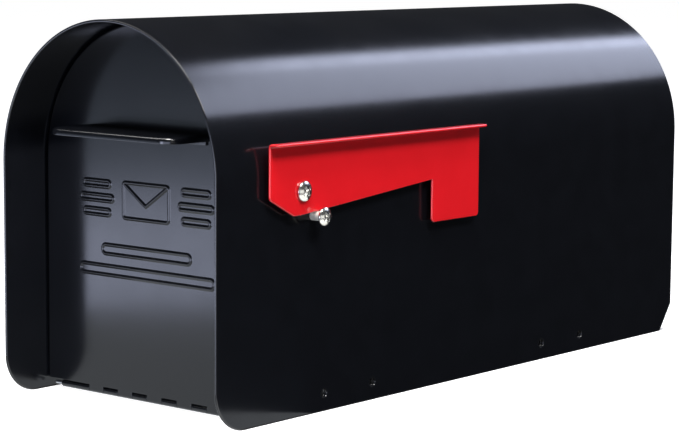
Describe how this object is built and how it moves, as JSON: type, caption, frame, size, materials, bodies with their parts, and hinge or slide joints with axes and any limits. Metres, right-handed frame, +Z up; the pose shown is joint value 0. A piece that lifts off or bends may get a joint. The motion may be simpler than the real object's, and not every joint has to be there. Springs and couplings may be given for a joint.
{
  "type": "curbside mailbox",
  "caption": "Arched black steel curbside mailbox with a recessed drop-down door under a hood, a pull handle and a red signal flag on its side.",
  "frame": {"origin": "centre of the floor pan's underside, where the mounting board seats, midway between the front rim and the tail", "axes": "+X towards the flag side, -Y towards the door end, +Z up, square to the mounting board"},
  "size_m": [0.22, 0.56, 0.2709],
  "materials": {
    "black_powder_coat": "semi-gloss black powder coat with a faint orange peel",
    "red_powder_coat": "semi-gloss red powder coat",
    "zinc_steel": "zinc-plated steel",
    "bright_steel": "bright stainless steel",
    "black_plastic": "matte moulded plastic",
    "ferrite": "dull sintered ferrite magnet",
    "black_rubber": "matte rubber",
    "white_nylon": "natural nylon"
  },
  "bodies": {
    "box": {"shell": "black_powder_coat", "floor_pan": "black_powder_coat", "back_panel": "black_powder_coat", "stop_frame": "black_powder_coat", "hinge_leaf": "black_powder_coat", "hinge_rod": "zinc_steel", "catch_bracket": "black_powder_coat", "catch_housing": "black_plastic", "catch_magnet": "ferrite", "catch_pole_plates": "zinc_steel", "catch_screws": "zinc_steel", "door_bumpers": "black_rubber", "flag_wall_washer": "black_rubber", "flag_pivot_screw": "bright_steel", "flag_inner_washer": "zinc_steel", "flag_lock_nut": "zinc_steel", "stop_screw": "bright_steel", "stop_spacer": "white_nylon", "stop_inner_washer": "zinc_steel", "stop_nut": "zinc_steel"},
    "door": {"door_panel": "black_powder_coat", "door_handle": "black_powder_coat", "handle_rivets": "black_powder_coat", "strike_plate": "zinc_steel"},
    "flag": {"flag": "red_powder_coat", "flag_bushing": "white_nylon"}
  },
  "joints": [
    {"name": "door_hinge", "type": "hinge", "parent": "box", "child": "door", "pos_m": [0, -0.2385, -0.017], "axis": [1, 0, 0], "range_deg": [0, 90]},
    {"name": "flag_pivot", "type": "hinge", "parent": "box", "child": "flag", "pos_m": [0.106, -0.2, 0.1347], "axis": [1, 0, 0], "range_deg": [0, 90]}
  ]
}
